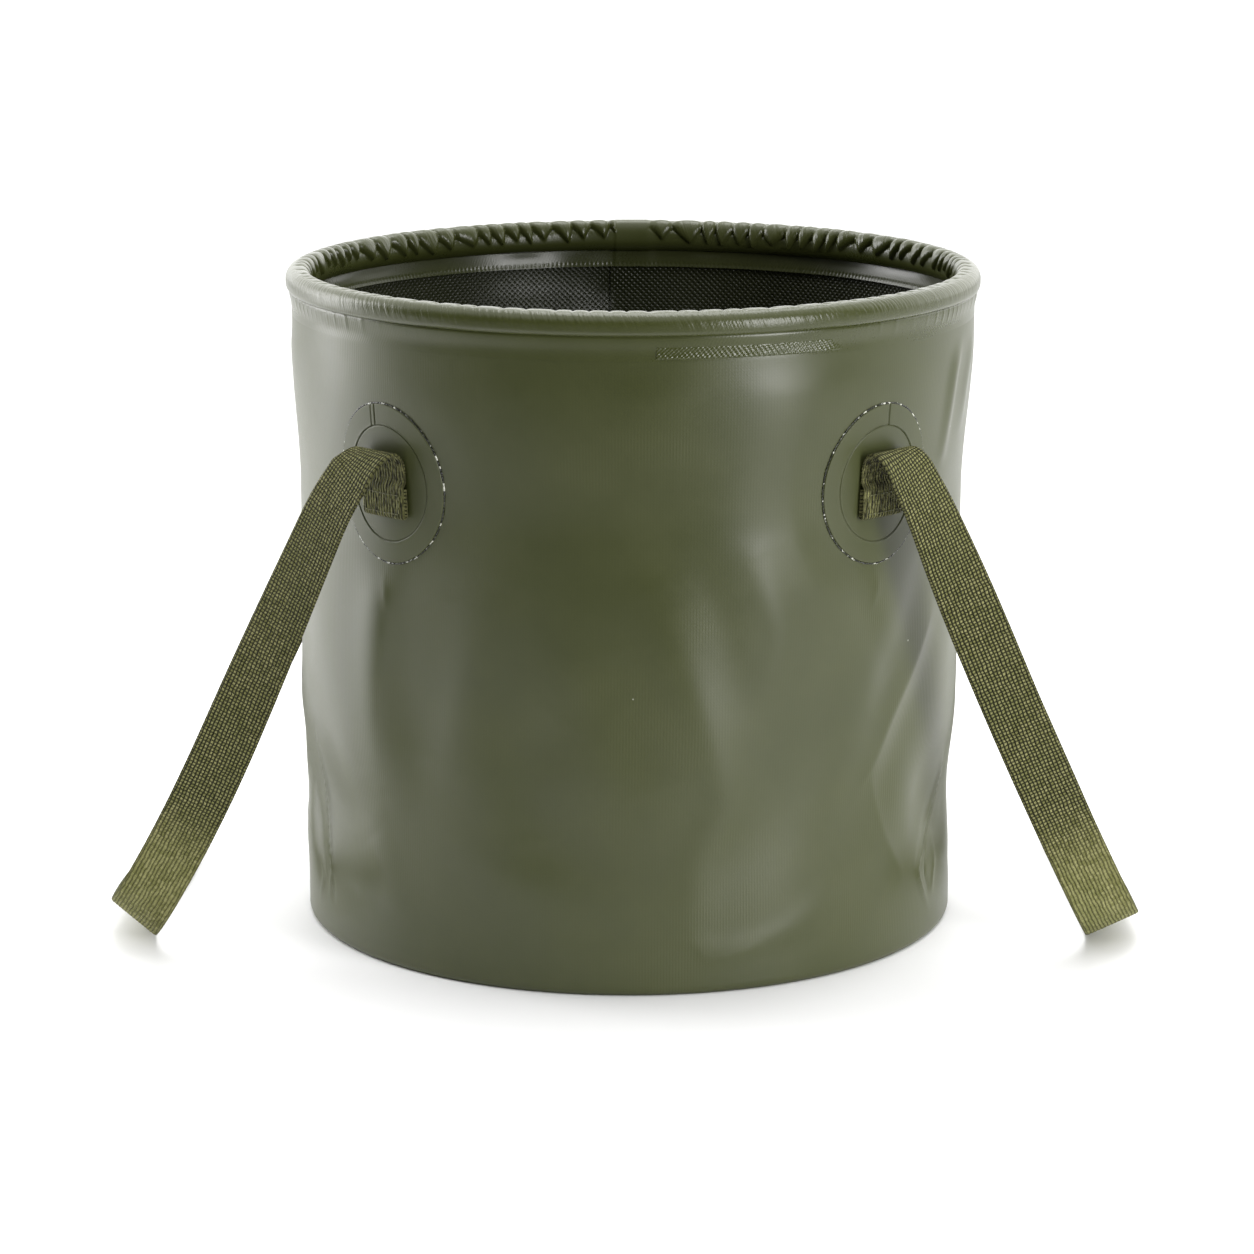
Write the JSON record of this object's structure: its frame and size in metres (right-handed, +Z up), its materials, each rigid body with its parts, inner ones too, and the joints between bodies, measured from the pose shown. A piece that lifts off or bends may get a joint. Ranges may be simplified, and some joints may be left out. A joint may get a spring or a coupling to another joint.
{
  "type": "collapsible bucket",
  "caption": "Round collapsible bucket of coated sheet with a hooped rim, a flat welded base and two webbing handle loops sewn to round patches.",
  "frame": {"origin": "middle of the underside, on the surface that the bucket stands on", "axes": "+Z up, out of the mouth; +X from the left handle to the right handle; -Y to the front, away from the wall's lapped seam"},
  "size_m": [0.4614, 0.306, 0.292],
  "materials": {
    "coated_sheet": "satin",
    "patch_sheet": "satin",
    "webbing": "matte",
    "thread": "matte",
    "hoop_plastic": "satin"
  },
  "bodies": {
    "bucket_base": {"base_panel": "coated_sheet", "wall_panel": "coated_sheet"},
    "rim": {"rim_sleeve": "coated_sheet", "rim_hoop": "hoop_plastic", "hoop_joiner": "hoop_plastic"},
    "handle_anchors": {"patch_front_left": "patch_sheet", "patch_front_right": "patch_sheet", "patch_rear_left": "patch_sheet", "patch_rear_right": "patch_sheet", "strap_end_front_left": "webbing", "strap_end_front_right": "webbing", "strap_end_rear_left": "webbing", "strap_end_rear_right": "webbing", "stitching_front_left": "thread", "stitching_front_right": "thread", "stitching_rear_left": "thread", "stitching_rear_right": "thread", "strap_bend_front_left": "webbing", "strap_bend_front_right": "webbing", "strap_bend_rear_left": "webbing", "strap_bend_rear_right": "webbing"},
    "handle_left": {"handle_loop_left": "webbing"},
    "handle_right": {"handle_loop_right": "webbing"}
  },
  "joints": [
    {"name": "collapse", "type": "slide", "parent": "bucket_base", "child": "rim", "axis": [0, 0, -1], "range_m": [0, 0.225], "deforming": ["wall_panel", "patch_front_left", "patch_front_right", "patch_rear_left", "patch_rear_right"]},
    {"name": "anchors_drop", "type": "slide", "parent": "bucket_base", "child": "handle_anchors", "axis": [0, 0, -1], "range_m": [0, 0.19]},
    {"name": "handle_left_swing", "type": "hinge", "parent": "handle_anchors", "child": "handle_left", "pos_m": [-0.115, 0, 0.226], "axis": [0, 1, 0], "range_deg": [0, 142], "deforming": ["strap_bend_front_left", "strap_bend_rear_left"]},
    {"name": "handle_right_swing", "type": "hinge", "parent": "handle_anchors", "child": "handle_right", "pos_m": [0.115, 0, 0.226], "axis": [0, -1, 0], "range_deg": [0, 142], "deforming": ["strap_bend_front_right", "strap_bend_rear_right"]}
  ],
  "couplings": [
    {"joint": "anchors_drop", "follows": "collapse", "ratio": 0.83}
  ]
}
